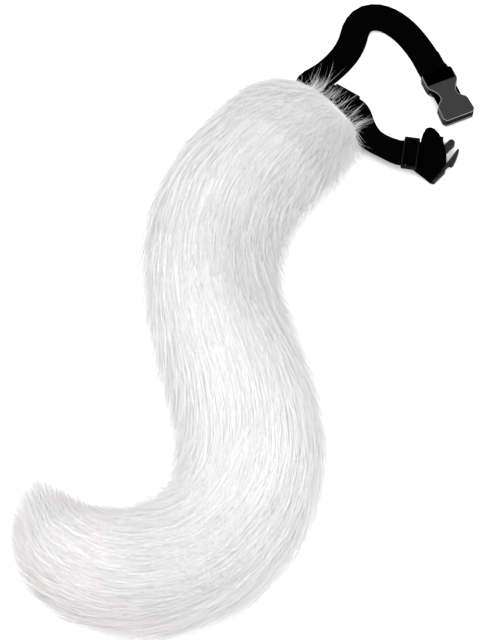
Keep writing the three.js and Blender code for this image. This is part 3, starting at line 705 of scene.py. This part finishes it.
# %% Growing a flat strip of pile
def grow_strip(name, values):
    holder = bpy.data.objects.new(name + "_strip", bpy.data.meshes.new(name + "_strip"))
    bpy.context.scene.collection.objects.link(holder)
    modifier = holder.modifiers.new("pelt", "NODES")
    modifier.node_group = pelt_tree
    for key, value in {**values, "Strand": strand, "Finish": fur}.items():
        modifier[pelt_sockets[key]] = value
    bpy.context.view_layer.update()
    graph_now = bpy.context.evaluated_depsgraph_get()
    mesh = bpy.data.meshes.new_from_object(holder.evaluated_get(graph_now))
    holder.modifiers.remove(modifier)
    bpy.data.objects.remove(holder)
    mesh.name = name
    return mesh


# %% [markdown]
# ## Rolling the strip onto the tail
# X on the strip becomes the share along the tail and Y the angle round it. The real pelt goes
# all round, but under the tail it is pressed flat and hidden, so the strip leaves that part out.
# Near the tip the sides are drawn back, which rounds the end. A point that would sink into the
# floor is laid on it.

# %% Places on the tail
UNDER = 0.62
ARC = math.pi + 2 * UNDER
TIP_SHARE = 0.1
TIP_ROUND = 0.03
FLOOR_GAP = 0.7 * MM
FLOOR_PILE = 0.15


def strip_to_tail(flat, start, length):
    at = (start + length / 2 + flat[:, 0]) / TAIL_LENGTH
    angle = math.pi / 2 - flat[:, 1] / GIRTH * ARC
    near_tip = np.clip((at - 1) / TIP_SHARE + 1, 0, 2)
    return at - TIP_ROUND * near_tip * np.cos(angle) ** 2, angle


def above_floor(placed, heights):
    placed[:, 2] = np.maximum(placed[:, 2], FLOOR_GAP + FLOOR_PILE * np.abs(heights))
    return placed


print("the strip covers", round(math.degrees(ARC)), "of 360 degrees")

# %% [markdown]
# ## Shading a pelt as one surface
# A strand with three flat sides would glitter, since each side faces its own way. Real pile
# shades softly, like the surface that it covers. So the strands' normals are bent almost fully
# to the tail's own outward way, which is found by placing each point once more, a little higher.

# %% Rolled pile
LAID = 0.95
OUTWARD_STEP = 10 * MM


def read_points(items, field):
    values = np.empty(len(items) * 3, np.float32)
    items.foreach_get(field, values)
    return values.reshape(-1, 3)


def unit(vectors):
    return vectors / np.linalg.norm(vectors, axis=1)[:, None]


def rolled(mesh, start, length, way, sink):
    flat = read_points(mesh.vertices, "co").astype(float)
    flat[:, :2] *= way
    at, angle = strip_to_tail(flat, start, length)
    placed = on_tail(at, angle, flat[:, 2] - sink)
    outward = unit(on_tail(at, angle, flat[:, 2] - sink + OUTWARD_STEP) - placed)
    placed = above_floor(placed, flat[:, 2])
    mesh.vertices.foreach_set("co", placed.astype(np.float32).ravel())

    root_layer = mesh.attributes["root"].data
    roots = read_points(root_layer, "vector")
    roots[:, 0] = start + length / 2 + way * roots[:, 0]
    root_layer.foreach_set("vector", roots.ravel())

    mesh.update()
    mesh.shade_smooth()
    own = read_points(mesh.vertices, "normal")
    mesh.normals_split_custom_set_from_vertices(unit(outward * LAID + own * (1 - LAID)))
    return mesh


# %% [markdown]
# ## A stretch of pile
# A stretch has the usual pile unless the call says otherwise. A way of -1 turns the strip
# round, so that its strands lean back over the belt.

# %% One stretch
def furred(name, start, end, strands, seed, way=1, sink=PILE_SINK, **changes):
    length = end - start
    sizes = {"Length": length, "Girth": GIRTH, "Strands": float(strands), "Seed": seed}
    mesh = rolled(grow_strip(name, {**sizes, **PILE, **changes}), start, length, way, sink)
    made = bpy.data.objects.new(name, mesh)
    bpy.context.scene.collection.objects.link(made)
    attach(made, "root")
    print(name, len(mesh.vertices) // len(strand_points), "strands", len(mesh.polygons), "faces")
    return made


# %% [markdown]
# ## The pile along the tail
# The whole pelt could be one mesh, but it would be too large to export well. So it is made in
# stretches that overlap a little. The pile is longest in the middle and shorter at both ends,
# where the tail is narrow.

# %% Pile along the tail
furred("fur_root", 0.002, 0.115, 15800, 11, Pile=0.042, Crown=0.3)
furred("fur_upper", 0.110, 0.235, 16400, 23)
furred("fur_middle", 0.230, 0.355, 16400, 37)
furred("fur_lower", 0.350, 0.475, 16400, 41)
furred("fur_tip", 0.470, 0.606, 15600, 59, Pile=0.042, Splay=0.12)

# %% [markdown]
# ## The brush at the tip
# At the end nothing lies over the strands, so one layer would leave the brush hollow. Two more
# layers are rooted deeper in the core and fill it, and a loose one on top fluffs it out.

# %% Brush
furred("tip_core", 0.575, 0.612, 2000, 61, sink=0.013, Pile=0.052, Splay=0.2, Crown=1.0)
furred("tip_heart", 0.585, 0.612, 1000, 62, sink=0.021, Pile=0.058, Splay=0.3, Crown=1.0)
furred("tip_fluff", 0.545, 0.614, 3900, 63, Pile=0.042, Width=0.0004, Lean=0.11, Splay=0.55,
       Crown=1.0)

# %% [markdown]
# ## Fur over the belt
# Where the tail is sewn on, short pile stands up all round. A few fine wisps and some long
# strays are turned back over the black belt, where each one shows.

# %% Root
furred("root_ruff", 0.001, 0.055, 5500, 67, Pile=0.022, Lean=0.42, Splay=0.5, Pull=0.0)
furred("root_wisps", -0.004, 0.022, 600, 71, way=-1, Pile=0.013, Width=0.0002, Lean=0.35,
       Splay=0.9, Pull=0.0)
furred("root_strays", 0.0, 0.016, 30, 73, way=-1, Pile=0.034, Width=0.0002, Lean=0.4,
       Splay=0.6, Pull=0.0)

# %% [markdown]
# ## Softened edges
# Moulded plastic and folded webbing have no sharp edges. The plain solids are made of loose
# triangles, which a bevel would cut up. So a copy has its doubles merged and its flat faces
# joined first, and then a narrow bevel rounds each hard edge, where it catches the light. The
# bevel's faces can have a finish of their own.

# %% Clean copies
WELD = 0.01 * MM
FLAT_WITHIN = math.radians(1.0)
SHARP_FROM = math.radians(32)
ROUNDING_STEPS = 2


def clean_copy(node):
    mesh = bpy.data.meshes.new_from_object(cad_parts[node])
    work = bmesh.new()
    work.from_mesh(mesh)
    bmesh.ops.remove_doubles(work, verts=work.verts, dist=WELD)
    bmesh.ops.dissolve_limit(work, angle_limit=FLAT_WITHIN, verts=work.verts, edges=work.edges)
    work.to_mesh(mesh)
    work.free()
    return mesh


# %% Softened copies
def softened(node, name, width, material, angle=35, edge=None):
    mesh = clean_copy(node)
    mesh.materials.clear()
    mesh.materials.append(material)
    if edge:
        mesh.materials.append(edge)
    mesh.shade_smooth()
    mesh.set_sharp_from_angle(angle=SHARP_FROM)
    holder = bpy.data.objects.new(name, mesh)
    bpy.context.scene.collection.objects.link(holder)
    bevel = holder.modifiers.new("edges", "BEVEL")
    bevel.width = width
    bevel.segments = ROUNDING_STEPS
    bevel.limit_method = "ANGLE"
    bevel.angle_limit = math.radians(angle)
    bevel.use_clamp_overlap = edge is None
    bevel.harden_normals = True
    bevel.material = 1 if edge else -1
    graph_now = bpy.context.evaluated_depsgraph_get()
    shaped = bpy.data.meshes.new_from_object(holder.evaluated_get(graph_now))
    holder.modifiers.clear()
    holder.data = shaped
    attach(holder, "root")
    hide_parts(node)
    print(name, len(shaped.polygons), "faces")
    return holder


# %% [markdown]
# ## Buckle, slider and belt
# The larger a moulded piece is, the wider its rounding. The belt and its casing are cloth, whose
# bends are shallow, so only edges past 60 degrees are rounded there.

# %% The softened pieces
# The socket's bevel faces take the painted edge highlight.
softened("buckle_socket", "buckle_socket_shell", 0.5 * MM, plastic, edge=painted_edge_highlight)
softened("buckle_prongs", "buckle_prongs_shell", 0.4 * MM, prong_plastic)
softened("slider", "slider_frame", 0.3 * MM, slider_plastic)
softened("belt", "belt_webbing", 0.4 * MM, webbing, angle=60)
softened("belt_casing", "casing_cloth", 0.4 * MM, webbing, angle=60)

# %% [markdown]
# ## Floor
# The tail lies on a pale, matt floor, which takes its faint shadow. It could curve up behind as
# a backdrop does, but the camera sees nothing but floor. It is a shade lower than the tail's
# underside.

# %% Floor
FLOOR_HALF = 6
FLOOR_DROP = 0.4 * MM

floor_finish, graph, shader = new_finish("pale_floor")
wire_up(graph, shader, {"Base Color": (0.93, 0.93, 0.93, 1), "Roughness": 0.9})
floor_corners = [(x * FLOOR_HALF, y * FLOOR_HALF, -FLOOR_DROP)
                 for x, y in [(-1, -1), (1, -1), (1, 1), (-1, 1)]]
floor = add_mesh("floor", floor_corners, [(0, 1, 2, 3)], floor_finish, smooth=False)
print("floor is", 2 * FLOOR_HALF, "m wide")

# %% [markdown]
# ## Light
# White fur loses its form in hard light and looks flat in light from everywhere. So an even,
# pale surround does most, a large soft lamp from the upper left models the pile, and a weaker
# one from the lower right opens the shadows.

# %% Lamps and surround
LAMP_AIM = Vector((-0.1, -0.2, 0))
SURROUND = 1.6


def lamp(name, place, size, watts):
    data = bpy.data.lights.new(name, "AREA")
    data.size = size
    data.energy = watts
    made = bpy.data.objects.new(name, data)
    made.location = place
    made.rotation_euler = (LAMP_AIM - Vector(place)).to_track_quat("-Z", "Y").to_euler()
    bpy.context.scene.collection.objects.link(made)
    print(name, "lamp", watts, "W")


lamp("key", (-1.5, 0.2, 2.2), 1.6, 22)
lamp("fill", (1.2, -1.6, 1.8), 2.2, 16)
world = bpy.data.worlds.new("surround")
world.use_nodes = True
background = world.node_tree.nodes["Background"]
background.inputs["Color"].default_value = (1, 1, 1, 1)
background.inputs["Strength"].default_value = SURROUND
bpy.context.scene.world = world
bpy.context.scene.view_settings.view_transform = "Standard"

# %% [markdown]
# ## Finish
# The strand was only a pattern to copy, so it is taken away.

# %% The strand goes
bpy.data.objects.remove(strand)
